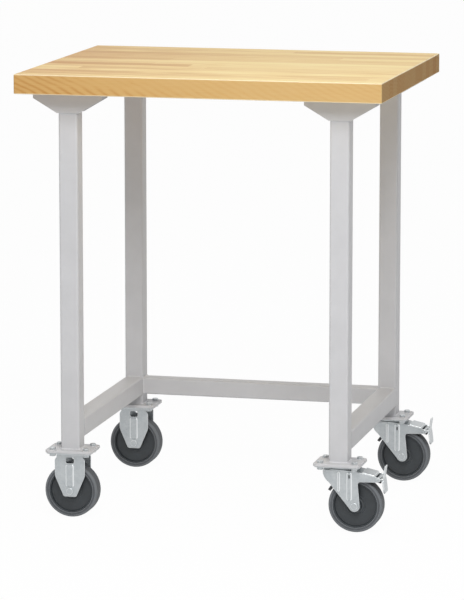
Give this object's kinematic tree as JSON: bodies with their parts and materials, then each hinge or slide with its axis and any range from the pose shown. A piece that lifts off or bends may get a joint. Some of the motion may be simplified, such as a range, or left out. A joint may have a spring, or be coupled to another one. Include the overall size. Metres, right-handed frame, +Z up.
{
  "type": "mobile assembly table",
  "caption": "Mobile assembly table: thick glued beech top on a welded grey square-tube frame, open at the front, rolling on fixed castors at one end and braked swivel castors at the other.",
  "frame": {"origin": "on the floor, under the middle of the worktop", "axes": "+Z up, +X towards the swivel castors, -Y towards the open front"},
  "size_m": [0.85, 0.7, 1.035],
  "materials": {
    "beech": "edge-glued beech staves, clear oiled",
    "grey_paint": "light grey powder coat, fine satin texture",
    "zinc": "bright zinc plate on pressed steel",
    "black_steel": "blackened spring steel",
    "tyre_rubber": "mid grey rubber, matt",
    "rim_plastic": "dark grey moulded plastic, matt"
  },
  "bodies": {
    "table": {"table_top": "beech", "side_stretcher_left": "grey_paint", "side_stretcher_right": "grey_paint", "rear_stretcher": "grey_paint", "leg_front_left": "grey_paint", "head_bracket_front_left": "grey_paint", "foot_plate_front_left": "grey_paint", "castor_bolt_front_left_1": "zinc", "castor_bolt_front_left_2": "zinc", "castor_bolt_front_left_3": "zinc", "castor_bolt_front_left_4": "zinc", "fixed_fork_front_left": "zinc", "axle_front_left": "zinc", "leg_rear_left": "grey_paint", "head_bracket_rear_left": "grey_paint", "foot_plate_rear_left": "grey_paint", "castor_bolt_rear_left_1": "zinc", "castor_bolt_rear_left_2": "zinc", "castor_bolt_rear_left_3": "zinc", "castor_bolt_rear_left_4": "zinc", "fixed_fork_rear_left": "zinc", "axle_rear_left": "zinc", "leg_front_right": "grey_paint", "head_bracket_front_right": "grey_paint", "foot_plate_front_right": "grey_paint", "castor_bolt_front_right_1": "zinc", "castor_bolt_front_right_2": "zinc", "castor_bolt_front_right_3": "zinc", "castor_bolt_front_right_4": "zinc", "swivel_plate_front_right": "zinc", "king_pin_front_right": "zinc", "leg_rear_right": "grey_paint", "head_bracket_rear_right": "grey_paint", "foot_plate_rear_right": "grey_paint", "castor_bolt_rear_right_1": "zinc", "castor_bolt_rear_right_2": "zinc", "castor_bolt_rear_right_3": "zinc", "castor_bolt_rear_right_4": "zinc", "swivel_plate_rear_right": "zinc", "king_pin_rear_right": "zinc"},
    "wheel_front_left": {"wheel_tyre_front_left": "tyre_rubber", "wheel_rim_front_left": "rim_plastic"},
    "wheel_rear_left": {"wheel_tyre_rear_left": "tyre_rubber", "wheel_rim_rear_left": "rim_plastic"},
    "wheel_front_right": {"wheel_tyre_front_right": "tyre_rubber", "wheel_rim_front_right": "rim_plastic"},
    "fork_front_right": {"swivel_fork_front_right": "zinc", "ball_race_front_right": "zinc", "axle_front_right": "zinc", "pedal_pin_front_right": "zinc"},
    "pedal_front_right": {"brake_pedal_front_right": "zinc"},
    "strip_front_right": {"brake_strip_front_right": "black_steel"},
    "wheel_rear_right": {"wheel_tyre_rear_right": "tyre_rubber", "wheel_rim_rear_right": "rim_plastic"},
    "fork_rear_right": {"swivel_fork_rear_right": "zinc", "ball_race_rear_right": "zinc", "axle_rear_right": "zinc", "pedal_pin_rear_right": "zinc"},
    "pedal_rear_right": {"brake_pedal_rear_right": "zinc"},
    "strip_rear_right": {"brake_strip_rear_right": "black_steel"}
  },
  "joints": [
    {"name": "wheel_spin_front_left", "type": "hinge", "parent": "table", "child": "wheel_front_left", "pos_m": [-0.3165, -0.2625, 0.0625], "axis": [0, 1, 0], "continuous": true},
    {"name": "wheel_spin_rear_left", "type": "hinge", "parent": "table", "child": "wheel_rear_left", "pos_m": [-0.3165, 0.3025, 0.0625], "axis": [0, 1, 0], "continuous": true},
    {"name": "castor_swivel_front_right", "type": "hinge", "parent": "table", "child": "fork_front_right", "pos_m": [0.3165, -0.2625, 0.147], "axis": [0, 0, 1], "continuous": true},
    {"name": "wheel_spin_front_right", "type": "hinge", "parent": "fork_front_right", "child": "wheel_front_right", "pos_m": [0.3555, -0.2625, 0.0625], "axis": [0, 1, 0], "continuous": true},
    {"name": "brake_pedal_front_right", "type": "hinge", "parent": "fork_front_right", "child": "pedal_front_right", "pos_m": [0.41, -0.2625, 0.126], "axis": [0, 1, 0], "range_deg": [0, 15]},
    {"name": "brake_strip_front_right", "type": "hinge", "parent": "fork_front_right", "child": "strip_front_right", "pos_m": [0.3015, -0.2625, 0.103], "axis": [0, 1, 0], "range_deg": [0, 0.75]},
    {"name": "castor_swivel_rear_right", "type": "hinge", "parent": "table", "child": "fork_rear_right", "pos_m": [0.3165, 0.3025, 0.147], "axis": [0, 0, 1], "continuous": true},
    {"name": "wheel_spin_rear_right", "type": "hinge", "parent": "fork_rear_right", "child": "wheel_rear_right", "pos_m": [0.3555, 0.3025, 0.0625], "axis": [0, 1, 0], "continuous": true},
    {"name": "brake_pedal_rear_right", "type": "hinge", "parent": "fork_rear_right", "child": "pedal_rear_right", "pos_m": [0.41, 0.3025, 0.126], "axis": [0, 1, 0], "range_deg": [0, 15]},
    {"name": "brake_strip_rear_right", "type": "hinge", "parent": "fork_rear_right", "child": "strip_rear_right", "pos_m": [0.3015, 0.3025, 0.103], "axis": [0, 1, 0], "range_deg": [0, 0.75]}
  ],
  "couplings": [
    {"joint": "brake_strip_front_right", "follows": "brake_pedal_front_right", "ratio": 0.05},
    {"joint": "brake_strip_rear_right", "follows": "brake_pedal_rear_right", "ratio": 0.05}
  ]
}
